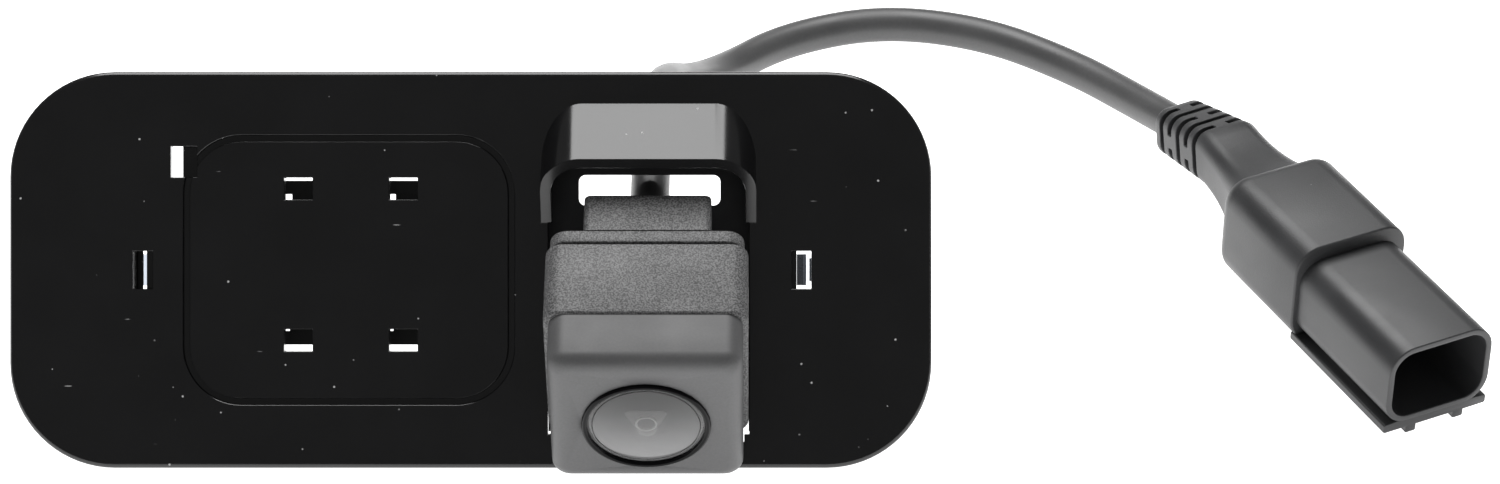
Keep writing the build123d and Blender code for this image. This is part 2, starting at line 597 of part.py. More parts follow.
# ================================================================ assembly
add("face_plate", face_plate())
add("camera_bracket", camera_bracket())
add("bracket_screws", bracket_screws())
add("camera_screws", camera_screws(), CAMERA)
for clip_name, clip_side in (("left", -1), ("right", 1)):
    add(f"{clip_name}_clip", clip_core(clip_side))
    add(f"{clip_name}_clip_outer_leg", clip_leaf(clip_side, 1))
    add(f"{clip_name}_clip_inner_leg", clip_leaf(clip_side, -1))
for column, column_x in zip(("left", "right"), WINDOW_XS):
    add(f"hook_upper_{column}", snap_hook(column_x, UPPER_Y, 1, 1.12, (1.3, 0.9)))
    add(f"hook_lower_{column}", snap_hook(column_x, LOWER_Y, -1, 0.75, (1.0, 0.5)))

for piece in (front_housing, mid_housing, case_seal, rear_cap, cap_seal, rear_cap_screws,
              lens_bezel, front_element, lens_barrel, second_element, aperture_stop,
              rear_element, lens_o_ring, lens_holder, board_spacers, board_screws,
              core_wires, cable_gland):
    add(piece.__name__, piece(), CAMERA)
add("ir_filter", slab(6.0, 5.0, -11.55, -11.05), CAMERA)
add("image_sensor", slab(6.6, 5.6, -12.0, -11.55), CAMERA)
add("sensor_board", board(SENSOR_BOARD_Z), CAMERA)
add("video_board", board(VIDEO_BOARD_Z), CAMERA)
add("video_chip", slab(6.0, 6.0, -15.0, -16.0, 0, 0, CASE_MID), CAMERA)
add("board_header", slab(8.0, 4.4, -19.6, VIDEO_BOARD_Z, 0, 0, GLAND_Y), CAMERA)
add("wire_plug", slab(7.2, 3.6, -22.0, -19.6, 0, 0, GLAND_Y), CAMERA)

cable_body, last_run = cable()
add("cable", cable_body, Location())
add("connector_boot", connector_boot(last_run), Location())
for piece in (connector_overmould, connector_shroud, connector_terminals, terminal_retainer,
              lead_cores):
    add(piece.__name__, piece(), CONNECTOR)

os.makedirs("parts", exist_ok=True)
for node_name, node_shape in nodes.items():
    export_step(node_shape, f"parts/{node_name}.step")
own = [s for n, s in nodes.items() if n not in ("cable", "lead_cores")
       and not n.startswith(("connector", "terminal"))]
box = Compound(children=own).bounding_box()
print(f"{len(nodes)} nodes; plate and camera span y {box.min.Y:.2f} to {box.max.Y:.2f}, "
      f"x {box.min.X:.2f} to {box.max.X:.2f}, z {box.min.Z:.3f} to {box.max.Z:.2f}")
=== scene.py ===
"""Looks of the backup camera kit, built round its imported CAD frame.

Sizes are in millimetres inside the classes and become metres on the way into Blender.  Three
working frames come from the record's mounts, each with +X to the right:
  plate      +Y up the plate, +Z out of its front face
  camera     +Z along the lens axis, origin at the lens centre
  connector  +Z out of the mating mouth, +Y up, origin on the bench below the mouth
"""

import json
import logging
import math
from dataclasses import dataclass, field
from enum import Enum

import bmesh
import bpy
from mathutils import Matrix, Vector


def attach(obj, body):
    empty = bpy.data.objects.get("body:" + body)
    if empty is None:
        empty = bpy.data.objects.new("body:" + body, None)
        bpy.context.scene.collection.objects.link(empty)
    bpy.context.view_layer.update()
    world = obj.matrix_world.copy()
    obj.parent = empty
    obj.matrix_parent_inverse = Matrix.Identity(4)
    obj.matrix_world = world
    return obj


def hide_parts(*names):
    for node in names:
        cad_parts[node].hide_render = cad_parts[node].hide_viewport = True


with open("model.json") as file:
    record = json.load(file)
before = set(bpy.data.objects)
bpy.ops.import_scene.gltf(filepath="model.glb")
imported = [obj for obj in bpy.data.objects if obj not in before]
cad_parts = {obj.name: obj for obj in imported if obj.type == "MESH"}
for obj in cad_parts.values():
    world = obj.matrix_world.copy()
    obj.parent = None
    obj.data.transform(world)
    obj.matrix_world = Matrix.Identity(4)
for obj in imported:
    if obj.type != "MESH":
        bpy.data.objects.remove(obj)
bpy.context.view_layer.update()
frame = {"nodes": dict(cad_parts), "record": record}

LOG = logging.getLogger("camera_kit")
MM = 0.001
CORNER_STEPS = 8                 # mesh steps round each quarter turn of an outline
CRISP = 38.0                     # degrees of turn from which an edge stays crisp
Colour = tuple[float, float, float]
Loop = list[Vector]


# ------------------------------------------------------------------------------ frames
def mount(name: str) -> dict:
    """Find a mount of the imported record.

    Args:
        name: the mount's name.

    Returns:
        The mount's entry, with pos_m and axis.
    """
    return next(m for m in frame["record"]["mounts"] if m["name"] == name)


def axes_at(origin: Vector, right: Vector, out: Vector) -> Matrix:
    """Make a working frame.

    Args:
        origin: its origin, in metres.
        right: its +X direction.
        out: its +Z direction, square to right.

    Returns:
        The matrix from the working frame, in millimetres, to the row frame, in metres.
    """
    up = out.cross(right)
    turn = Matrix((right, up, out)).transposed().to_4x4()
    return Matrix.Translation(origin) @ turn @ Matrix.Scale(MM, 4)


def plate_frame() -> Matrix:
    """Return the plate's frame, found from its rear seat."""
    seat, seat_y, seat_z = mount("rear_seat"), -24.2, -4.2
    here = axes_at(Vector(seat["pos_m"]), Vector((1, 0, 0)), -Vector(seat["axis"]).normalized())
    return here @ Matrix.Translation((0, -seat_y, -seat_z))


def camera_frame() -> Matrix:
    """Return the camera module's frame, found from its lens axis."""
    lens = mount("lens_axis")
    return axes_at(Vector(lens["pos_m"]), Vector((1, 0, 0)), Vector(lens["axis"]).normalized())


def connector_frame() -> Matrix:
    """Return the connector's frame, found from its mating axis and set on the bench."""
    mouth = mount("lead_connector")
    out = Vector(mouth["axis"]).normalized()
    x, y, _ = mouth["pos_m"]
    return axes_at(Vector((x, y, 0)), Vector((0, 0, 1)).cross(out), out)


PLATE, CAMERA, CONNECTOR = plate_frame(), camera_frame(), connector_frame()


# ------------------------------------------------------------------------------ outlines
def rounded(w: float, h: float, r: float, z: float, x: float = 0.0, y: float = 0.0) -> Loop:
    """Make a rounded rectangle.

    Args:
        w: width along X.
        h: height along Y.
        r: corner radius.
        z: its height on the frame's axis.
        x: its centre along X.
        y: its centre along Y.

    Returns:
        Its points, starting at the middle of the right side's upper corner.
    """
    r = max(min(r, w / 2 - 0.01, h / 2 - 0.01), 0.01)
    points = []
    for quarter, (sx, sy) in enumerate(((1, 1), (-1, 1), (-1, -1), (1, -1))):
        for step in range(CORNER_STEPS + 1):
            turn = math.pi / 2 * (quarter + step / CORNER_STEPS)
            points.append(Vector((x + sx * (w / 2 - r) + r * math.cos(turn),
                                  y + sy * (h / 2 - r) + r * math.sin(turn), z)))
    return points


def circle(r: float, z: float, x: float = 0.0, y: float = 0.0) -> Loop:
    """Make a circle with as many points as a rounded rectangle has, at the same angles."""
    return rounded(2 * r, 2 * r, r, z, x, y)


def edge_round(w: float, h: float, r: float, z: float, inset: float, way: int, steps: int = 5,
               x: float = 0.0, y: float = 0.0) -> list[Loop]:
    """Round the edge between a block's side and its end.

    Args:
        w: the block's width.
        h: the block's height.
        r: its corner radius.
        z: where its end is.
        inset: radius of the round.
        way: +1 where the loops run towards the end, and -1 where they run away from it.
        steps: mesh steps across the round.
        x: the block's centre along X.
        y: the block's centre along Y.

    Returns:
        The loops of the round, in order.  The end faces +Z when way is +1, otherwise -Z.
    """
    loops = []
    for step in range(steps + 1):
        turn = math.pi / 2 * step / steps
        pull, drop = inset * (1 - math.cos(turn)), inset * (1 - math.sin(turn))
        loops.append(rounded(w - 2 * pull, h - 2 * pull, r - pull * 0.6, z - way * drop, x, y))
    return loops if way > 0 else loops[::-1]


# ------------------------------------------------------------------------------ meshes
def skin(name: str, loops: list[Loop], where: Matrix, sharp: float = CRISP
         ) -> bpy.types.Object:
    """Skin a row of loops into a solid.

    Args:
        name: the piece's name.
        loops: loops with the same number of points, in the working frame.
        where: the working frame.
        sharp: edges that turn by more than this, in degrees, stay crisp.

    Returns:
        The new object.
    """
    bm = bmesh.new()
    rows = [[bm.verts.new(where @ p) for p in loop] for loop in loops]
    count = len(rows[0])
    for low, high in zip(rows, rows[1:]):
        for i in range(count):
            j = (i + 1) % count
            bm.faces.new((low[i], low[j], high[j], high[i]))
    bm.faces.new(rows[0][::-1])
    bm.faces.new(rows[-1])
    return finished(name, bm, sharp)


def finished(name: str, bm: bmesh.types.BMesh, sharp: float = CRISP) -> bpy.types.Object:
    """Turn a bmesh into a linked object with clean faces and normals.

    Args:
        name: the piece's name.
        bm: the mesh, which is freed.
        sharp: edges that turn by more than this, in degrees, stay crisp.

    Returns:
        The new object.
    """
    bmesh.ops.remove_doubles(bm, verts=bm.verts, dist=1e-7)
    bmesh.ops.recalc_face_normals(bm, faces=bm.faces)
    mesh = bpy.data.meshes.new(name)
    bm.to_mesh(mesh)
    bm.free()
    mesh.shade_smooth()
    mesh.set_sharp_from_angle(angle=math.radians(sharp))
    obj = bpy.data.objects.new(name, mesh)
    bpy.context.scene.collection.objects.link(obj)
    return obj


def lathe(name: str, outline: list[tuple[float, float]], where: Matrix, steps: int = 72
          ) -> bpy.types.Object:
    """Turn a closed outline about the frame's axis.

    Args:
        name: the piece's name.
        outline: (radius, z) points; a radius of 0 lies on the axis.
        where: the working frame.
        steps: mesh steps round the axis.

    Returns:
        The new object.
    """
    bm = bmesh.new()
    rows = []
    for r, z in outline:
        ring = [where @ Vector((r * math.cos(a), r * math.sin(a), z))
                for a in (math.tau * s / steps for s in range(steps if r else 1))]
        rows.append([bm.verts.new(p) for p in ring])
    for low, high in zip(rows, rows[1:] + rows[:1]):
        for i in range(steps):
            j = (i + 1) % steps
            corners = [low[i % len(low)], low[j % len(low)], high[j % len(high)],
                       high[i % len(high)]]
            unique = list(dict.fromkeys(corners))
            if len(unique) > 2:
                bm.faces.new(unique)
    return finished(name, bm)


def applied(obj: bpy.types.Object) -> bpy.types.Object:
    """Apply an object's modifiers to its mesh."""
    evaluated = obj.evaluated_get(bpy.context.evaluated_depsgraph_get())
    mesh = bpy.data.meshes.new_from_object(evaluated)
    obj.modifiers.clear()
    obj.data = mesh
    return obj


def combined(obj: bpy.types.Object, others: list[bpy.types.Object],
             operation: str) -> bpy.types.Object:
    """Cut or join solids with an exact boolean.

    Args:
        obj: the solid that is kept.
        others: the solids that are used up.
        operation: DIFFERENCE or UNION.

    Returns:
        The same object with its new mesh.
    """
    for other in others:
        step = obj.modifiers.new("combine", "BOOLEAN")
        step.operation, step.object, step.solver = operation, other, "EXACT"
        applied(obj)
        bpy.data.objects.remove(other)
    return obj


def softened(obj: bpy.types.Object, width: float, steps: int = 2, angle: float = 32.0,
             flat: bool = False) -> bpy.types.Object:
    """Round the crisp edges of a piece by a small bevel.

    Args:
        obj: the piece.
        width: the bevel's width in millimetres.
        steps: mesh steps across it.
        angle: edges that turn by more than this, in degrees, are rounded.
        flat: True keeps each bevel a crisp flat that glints along its whole length.

    Returns:
        The same object.
    """
    weld = obj.modifiers.new("weld", "WELD")
    weld.merge_threshold = 2e-6
    flats = obj.modifiers.new("flats", "DECIMATE")
    flats.decimate_type, flats.angle_limit = "DISSOLVE", math.radians(0.6)
    bevel = obj.modifiers.new("edges", "BEVEL")
    bevel.width, bevel.segments = width * MM, steps
    bevel.limit_method, bevel.angle_limit = "ANGLE", math.radians(angle)
    bevel.harden_normals = not flat
    bevel.miter_outer = "MITER_SHARP" if flat else "MITER_ARC"
    if flat:
        split = obj.modifiers.new("crisp", "EDGE_SPLIT")
        split.split_angle = math.radians(angle - 2)
    return obj


# ------------------------------------------------------------------------------ finishes
class Grain(Enum):
    """How a moulded or rolled surface is broken up."""

    POLISHED = "polished"
    SATIN = "satin"
    SPARK = "spark"
    SPARKLE = "sparkle"


class Graph:
    """A material's node tree, with short calls for the nodes that the finishes share."""

    def __init__(self, name: str) -> None:
        """Start a material with one Principled shader.

        Args:
            name: the material's name.
        """
        self.material = bpy.data.materials.new(name)
        self.material.use_nodes = True
        self.tree = self.material.node_tree
        self.shader = self.tree.nodes["Principled BSDF"]
        self.place = self.node("ShaderNodeTexCoord").outputs["Object"]

    def node(self, kind: str, **settings: object) -> bpy.types.Node:
        """Add a node and set its properties."""
        made = self.tree.nodes.new(kind)
        for key, value in settings.items():
            setattr(made, key, value)
        return made

    def wire(self, source: bpy.types.NodeSocket, target: bpy.types.NodeSocket) -> None:
        """Join two sockets."""
        self.tree.links.new(source, target)

    def noise(self, size: float, detail: float = 2.0, stretch: Colour = (1, 1, 1)
              ) -> bpy.types.NodeSocket:
        """Add a noise pattern.

        Args:
            size: its features' size in millimetres.
            detail: number of finer octaves.
            stretch: scale along each axis.

        Returns:
            Its value, from 0 to 1.
        """
        mapping = self.node("ShaderNodeMapping")
        mapping.inputs["Scale"].default_value = stretch
        self.wire(self.place, mapping.inputs["Vector"])
        noise = self.node("ShaderNodeTexNoise")
        noise.inputs["Scale"].default_value = 1 / (size * MM)
        noise.inputs["Detail"].default_value = detail
        self.wire(mapping.outputs["Vector"], noise.inputs["Vector"])
        return noise.outputs["Fac"]

    def cells(self, size: float, stretch: Colour = (1, 1, 1), turn: float = 0.0
              ) -> bpy.types.NodeSocket:
        """Add a cell pattern and return its distance from each cell's centre.

        Args:
            size: the cells' size in millimetres.
            stretch: scale along each axis, after the turn.
            turn: degrees that the pattern is turned about the row's Y axis.

        Returns:
            The distance, in cells.
        """
        mapping = self.node("ShaderNodeMapping")
        mapping.inputs["Rotation"].default_value = (0, math.radians(turn), 0)
        mapping.inputs["Scale"].default_value = stretch
        self.wire(self.place, mapping.inputs["Vector"])
        cells = self.node("ShaderNodeTexVoronoi")
        cells.inputs["Scale"].default_value = 1 / (size * MM)
        self.wire(mapping.outputs["Vector"], cells.inputs["Vector"])
        return cells.outputs["Distance"]

    def height(self, low: float, high: float) -> bpy.types.NodeSocket:
        """Return 0 to 1 between two heights above the bench, in millimetres."""
        parts = self.node("ShaderNodeSeparateXYZ")
        self.wire(self.place, parts.inputs["Vector"])
        return self.ramp(parts.outputs["Z"], low * MM, high * MM)

    def ramp(self, value: bpy.types.NodeSocket, low: float, high: float, start: float = 0.0,
             end: float = 1.0) -> bpy.types.NodeSocket:
        """Map a value from low..high to start..end, held at both ends."""
        ramp = self.node("ShaderNodeMapRange", interpolation_type="SMOOTHSTEP")
        for socket, number in zip(("From Min", "From Max", "To Min", "To Max"),
                                  (low, high, start, end)):
            ramp.inputs[socket].default_value = number
        self.wire(value, ramp.inputs["Value"])
        return ramp.outputs["Result"]

    def maths(self, operation: str, a: bpy.types.NodeSocket | float,
              b: bpy.types.NodeSocket | float = 0.0) -> bpy.types.NodeSocket:
        """Add a maths node on two sockets or numbers."""
        made = self.node("ShaderNodeMath", operation=operation)
        for socket, value in zip(made.inputs, (a, b)):
            if isinstance(value, bpy.types.NodeSocket):
                self.wire(value, socket)
            else:
                socket.default_value = value
        return made.outputs["Value"]

    def blend(self, share: bpy.types.NodeSocket, first: Colour | bpy.types.NodeSocket,
              second: Colour) -> bpy.types.NodeSocket:
        """Mix a colour, or a coloured socket, with a second colour by a value."""
        mix = self.node("ShaderNodeMix", data_type="RGBA")
        start, end = (next(s for s in mix.inputs if s.name == name and s.type == "RGBA")
                      for name in "AB")
        if isinstance(first, tuple):
            start.default_value = (*first, 1)
        else:
            self.wire(first, start)
        end.default_value = (*second, 1)
        self.wire(share, next(s for s in mix.inputs if s.name == "Factor" and s.type == "VALUE"))
        return next(s for s in mix.outputs if s.type == "RGBA")

    def bump(self, height: bpy.types.NodeSocket, depth: float) -> None:
        """Raise the surface by a pattern.

        Args:
            height: the pattern, from 0 to 1.
            depth: its height in micrometres.
        """
        bump = self.node("ShaderNodeBump")
        bump.inputs["Distance"].default_value = depth * MM * MM
        self.wire(height, bump.inputs["Height"])
        self.wire(bump.outputs["Normal"], self.shader.inputs["Normal"])

    def put(self, **values: object) -> None:
        """Set the shader's own sockets, named with _ for each space."""
        for key, value in values.items():
            socket = self.shader.inputs[key.replace("_", " ")]
            if isinstance(value, bpy.types.NodeSocket):
                self.wire(value, socket)
            else:
                socket.default_value = (*value, 1) if isinstance(value, tuple) else value


def lighter(colour: Colour, by: float) -> Colour:
    """Scale a colour and hold it under 1."""
    return tuple(min(c * by, 1.0) for c in colour)


@dataclass(frozen=True)
class Moulded:
    """A moulded plastic, PVC or rubber finish."""

    slot: str
    colour: Colour
    roughness: float
    grain: Grain = Grain.SATIN
    specular: float = 0.5
    depth: float = 6.0            # micrometres of surface texture
    size: float = 0.25            # millimetres of its features
    variation: float = 0.12       # share by which the colour wanders
    dust: float = 0.0             # share of the surface under specks

    def make(self) -> bpy.types.Material:
        """Return the finish as a material."""
        g = Graph(self.slot)
        broad = g.noise(9.0, 3.0)
        fine = g.noise(self.size, 2.0)
        if self.grain is Grain.SPARKLE:
            share = g.ramp(fine, 0.36, 0.66)
        else:
            share = g.ramp(g.maths("ADD", g.maths("MULTIPLY", broad, 0.6),
                                   g.maths("MULTIPLY", fine, 0.4)), 0.3, 0.7)
        colour = g.blend(share, lighter(self.colour, 1 - self.variation),
                         lighter(self.colour, 1 + self.variation))
        rough = g.ramp(broad, 0.3, 0.7, self.roughness * 0.9, min(self.roughness * 1.12, 1))
        if self.dust:
            specks = g.ramp(g.cells(3.1), self.dust * 0.6, self.dust, 1.0, 0.0)
            hairs = g.ramp(g.cells(2.4, (0.16, 1.0, 1.0), 24.0), self.dust * 0.4,
                           self.dust * 0.7, 0.6, 0.0)
            mask = g.maths("MULTIPLY", g.maths("MAXIMUM", specks, hairs),
                           g.ramp(g.noise(5.0), 0.44, 0.54))
            colour = g.blend(mask, colour, (0.5, 0.5, 0.5))
            rough = g.maths("MAXIMUM", rough, g.maths("MULTIPLY", mask, 0.7))
        g.put(Base_Color=colour, Roughness=rough, Specular_IOR_Level=self.specular)
        if self.grain is Grain.POLISHED:
            g.bump(g.noise(14.0, 1.0), self.depth)
        elif self.grain is Grain.SPARK:
            g.bump(g.maths("ADD", g.cells(self.size), fine), self.depth)
        else:
            g.bump(fine, self.depth)
        return g.material


@dataclass(frozen=True)
class Metal:
    """A rolled, turned or plated metal finish."""

    slot: str
    colour: Colour
    roughness: float
    stretch: Colour = (1, 1, 1)
    depth: float = 2.0
    size: float = 0.15
    metallic: float = 1.0

    def make(self) -> bpy.types.Material:
        """Return the finish as a material."""
        g = Graph(self.slot)
        lines = g.noise(self.size, 3.0, self.stretch)
        broad = g.noise(5.0, 2.0)
        g.put(Base_Color=g.blend(g.ramp(broad, 0.3, 0.7), lighter(self.colour, 0.86),
                                 lighter(self.colour, 1.08)),
              Roughness=g.ramp(lines, 0.25, 0.75, self.roughness * 0.8, self.roughness * 1.25),
              Metallic=self.metallic)
        g.bump(lines, self.depth)
        return g.material


@dataclass(frozen=True)
class Glass:
    """A coated optical glass: part clear, part film, with shade painted into the film so that it
    darkens towards the lens's top.
    """

    slot: str
    film: Colour
    alpha: float
    roughness: float = 0.06
    coat: float = 1.0
    top: float = 1.0              # painted shade: share of the film's colour left at the lens's top
    painted_shade_heights: tuple[float, float] = (9.0, 21.0)   # heights that the painted shade fades between, in millimetres

    def make(self) -> bpy.types.Material:
        """Return the finish as a material."""
        g = Graph(self.slot)
        haze = g.noise(3.0, 2.0)
        # painted shade: the film's colour darkens with height towards the lens's top
        g.put(Base_Color=g.blend(g.height(*self.painted_shade_heights), self.film, lighter(self.film, self.top)),
              Roughness=self.roughness, Alpha=self.alpha, Coat_Weight=self.coat,
              Coat_Roughness=0.03, IOR=1.5)
        g.bump(haze, 1.0)
        return g.material


@dataclass(frozen=True)
class Board:
    """Solder mask over copper tracks."""

    slot: str
    mask: Colour
    track: Colour

    def make(self) -> bpy.types.Material:
        """Return the finish as a material."""
        g = Graph(self.slot)
        tracks = g.ramp(g.noise(0.9, 0.0, (1.0, 6.0, 1.0)), 0.5, 0.56)
        g.put(Base_Color=g.blend(tracks, self.mask, self.track), Roughness=0.35)
        g.bump(tracks, 20.0)
        return g.material


FINISHES = (
    Moulded("plate_gloss", (0.0045, 0.0045, 0.0048), 0.17, Grain.POLISHED, 0.5, 1.5,
            dust=0.055, variation=0.2),
    Metal("bracket_steel", (0.03, 0.03, 0.032), 0.5, metallic=0.2, depth=6.0),
    Metal("screw_steel", (0.56, 0.56, 0.57), 0.3),
    Metal("spring_steel", (0.36, 0.39, 0.44), 0.26, (1, 10, 1)),
    Moulded("hook_plastic", (0.006, 0.006, 0.0065), 0.35),
    Moulded("case_satin", (0.085, 0.085, 0.0865), 0.48, Grain.SATIN, 0.4, 4.0, 0.3),
    Moulded("case_textured", (0.108, 0.108, 0.1095), 0.55, Grain.SPARKLE, 0.5, 20.0, 0.22,
            variation=0.7),
    Moulded("bezel_gloss", (0.0025, 0.0025, 0.003), 0.14, Grain.POLISHED, 0.12, 0.5),
    # lens glass: top=0.14 paints shade, darkening the film towards the lens's top
    Glass("lens_glass", (0.3, 0.3, 0.302), 0.55, coat=0.35, top=0.14),
    # pale colour: a painted highlight on the bell-shaped optic and its pupil ring
    Moulded("lens_inner_glass", (0.58, 0.58, 0.57), 0.25, Grain.POLISHED, 0.5, 0.5),
    Metal("barrel_black", (0.02, 0.02, 0.02), 0.4, metallic=0.3),
    Moulded("stop_black", (0.008, 0.008, 0.008), 0.6),
    Moulded("seal_rubber", (0.02, 0.02, 0.02), 0.7),
    Moulded("seal_red", (0.3, 0.03, 0.025), 0.6),
    Board("board_green", (0.012, 0.09, 0.035), (0.03, 0.16, 0.06)),
    Moulded("chip_black", (0.02, 0.02, 0.021), 0.5),
    Moulded("sensor_die", (0.08, 0.05, 0.1), 0.15, Grain.POLISHED, 0.8, 0.4),
    Glass("filter_glass", (0.5, 0.2, 0.22), 0.5),
    Moulded("header_white", (0.62, 0.6, 0.52), 0.5),
    Metal("spacer_brass", (0.62, 0.45, 0.2), 0.28),
    Moulded("core_pvc", (0.4, 0.03, 0.03), 0.5),
    Moulded("cable_pvc", (0.075, 0.075, 0.076), 0.42, Grain.SATIN, 0.5, 5.0, 0.4),
    Moulded("mould_pvc", (0.034, 0.0345, 0.036), 0.42, Grain.SPARK, 0.45, 9.0, 0.2, 0.2,
            dust=0.03),
    Moulded("shroud_nylon", (0.034, 0.0345, 0.036), 0.42, Grain.SATIN, 0.45, 5.0, 0.3),
    Metal("terminal_tin", (0.6, 0.59, 0.56), 0.35),
    Moulded("retainer_nylon", (0.035, 0.035, 0.036), 0.5),
)

# CAD nodes that keep their shape and get their moulded or rolled edges, in millimetres
EDGES = {
    "face_plate": 0.2, "camera_bracket": 0.2, "bracket_screws": 0.06, "camera_screws": 0.06,
    "left_clip": 0.06, "right_clip": 0.06, "terminal_retainer": 0.08,
    **{f"{side}_clip_{leg}_leg": 0.06 for side in ("left", "right") for leg in ("inner", "outer")},
    **{f"hook_{row}_{side}": 0.1 for row in ("upper", "lower") for side in ("left", "right")},
}


class Paintbox:
    def __init__(self) -> None:
        """Make each finish's material."""
        self.materials = {finish.slot: finish.make() for finish in FINISHES}

    def coat(self, obj: bpy.types.Object, slot: str) -> bpy.types.Object:
        """Give a piece one finish all over."""
        obj.data.materials.clear()
        obj.data.materials.append(self.materials[slot])
        return obj

    def coat_nodes(self) -> None:
        """Give every CAD node the finish of its own slot."""
        for entry in frame["record"]["subparts"]:
            self.coat(frame["nodes"][entry["node"]], entry["material_slot"])
        for node, width in EDGES.items():
            flat = node == "face_plate"
            softened(frame["nodes"][node], width, 1 if flat else 2, flat=flat)
        LOG.info("coated %d CAD nodes", len(frame["nodes"]))

    def settle(self, obj: bpy.types.Object, slot: str, *nodes: str,
               body: str = "root") -> bpy.types.Object:
        """Coat a new piece, mount it on its body and let it stand for its CAD nodes.

        Args:
            obj: the piece.
            slot: its material slot.
            nodes: the CAD nodes that it stands for.
            body: the body that it rides on.

        Returns:
            The same piece.
        """
        self.coat(obj, slot)
        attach(obj, body)
        if nodes:
            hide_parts(*nodes)
        LOG.info("built %s", obj.name)
        return obj


# ------------------------------------------------------------------------------ lead
ROUTE = [
    (0.02255, 0.0112, 0.0255),
    (0.02255, 0.0225, 0.0282),
    (0.0229, 0.0365, 0.0268),
    (0.0240, 0.0508, 0.0204),
    (0.0264, 0.0643, 0.0110),
    (0.0312, 0.0765, 0.0046),
    (0.0404, 0.0885, 0.0026),
    (0.0546, 0.0937, 0.0025),
    (0.0696, 0.0905, 0.0025),
    (0.0820, 0.0813, 0.0026),
    (0.0900, 0.0707, 0.0039),
    (0.0956, 0.0602, 0.0064),
]


@dataclass
class Lead:
    """The round cable from the camera's gland to the connector's boot."""

    diameter: float = 5.0
    length: float = 158.0

    def build(self, paint: Paintbox) -> None:
        """Lay the cable along its route.

        Args:
            paint: the finishes.
        """
        curve = bpy.data.curves.new("lead_cable", "CURVE")
        curve.dimensions = "3D"
        curve.bevel_depth = self.diameter / 2 * MM
        curve.bevel_resolution = 8
        curve.resolution_u = 16
        curve.use_fill_caps = True
        spline = curve.splines.new("NURBS")
        spline.points.add(len(ROUTE) - 1)
        for point, place in zip(spline.points, ROUTE):
            point.co = (*place, 1)
        spline.order_u = 3
        spline.use_endpoint_u = True
        cable = bpy.data.objects.new("lead_cable", curve)
        bpy.context.scene.collection.objects.link(cable)
        paint.settle(cable, "cable_pvc", "cable")


# ------------------------------------------------------------------------------ camera
@dataclass
class CameraModule:
    """The sealed case: front shell, textured body and rear cover."""

    top: float = 12.2
    bottom: float = -11.0
    front_w: float = 24.0
    body_w: float = 25.3
    body_h: float = 23.7
    flange_w: float = 24.3
    corner: float = 2.2
    face_round: float = 1.9
    bore: float = 8.0
    bore_depth: float = 2.2
    front_end: float = -7.8
    body_end: float = -19.0
    seam: float = 0.4
    flange_end: float = -21.4
    boss_end: float = -27.3
    boss: tuple[float, float] = (16.0, 17.0)
    edge: float = 0.35

    @property
    def height(self) -> float:
        """Height of the case."""
        return self.top - self.bottom

    @property
    def middle(self) -> float:
        """Middle of the case from the lens axis."""
        return (self.top + self.bottom) / 2

    def front_shell(self) -> bpy.types.Object:
        """Build the smooth front shell with the lens bore in its face."""
        w, h, y = self.front_w, self.height, self.middle
        loops = [rounded(w - 1.0, h - 1.0, self.corner - 0.5, self.front_end, 0, y),
                 *edge_round(w, h, self.corner, self.front_end, 0.25, -1, 3, 0, y)[1:],
                 *edge_round(w, h, self.corner, 0, self.face_round, 1, 8, 0, y),
                 circle(self.bore + 0.05, 0), circle(self.bore + 0.01, -0.04),
                 circle(self.bore, -self.bore_depth)]
        return skin("camera_front_shell", loops, CAMERA, sharp=45)

    def body_shell(self) -> bpy.types.Object:
        """Build the textured body between the two joints."""
        w, h, y = self.body_w, self.body_h, self.middle
        loops = [*edge_round(w, h, self.corner, self.body_end, self.edge, -1, 4, 0, y),
                 *edge_round(w, h, self.corner, self.front_end + 0.1, self.edge, 1, 4, 0, y)]
        return skin("camera_body_shell", loops, CAMERA)

    def rear_cover(self) -> bpy.types.Object:
        """Build the rear cover: full-width flange and the narrower boss behind it."""
        y = self.middle
        boss_w, boss_h = self.boss
        boss_y = self.top - boss_h / 2
        front = self.body_end - self.seam
        loops = [circle(3.7, self.boss_end, 0, boss_y),
                 *edge_round(boss_w, boss_h, 0.8, self.boss_end, 0.3, -1, 3, 0, boss_y),
                 rounded(boss_w, boss_h, 0.8, self.flange_end - 0.2, 0, boss_y),
                 rounded(boss_w + 0.3, boss_h, 0.9, self.flange_end, 0, boss_y),
                 *edge_round(self.flange_w, self.height, self.corner, self.flange_end, 0.3,
                             -1, 3, 0, y),
                 *edge_round(self.flange_w, self.height, self.corner, front, 0.2, 1, 3, 0, y)]
        return skin("camera_rear_cover", loops, CAMERA)

    def build(self, paint: Paintbox) -> None:
        """Build and coat the case."""
        paint.settle(self.front_shell(), "case_satin", "front_housing")
        paint.settle(self.body_shell(), "case_textured", "mid_housing")
        paint.settle(self.rear_cover(), "case_textured", "rear_cap")


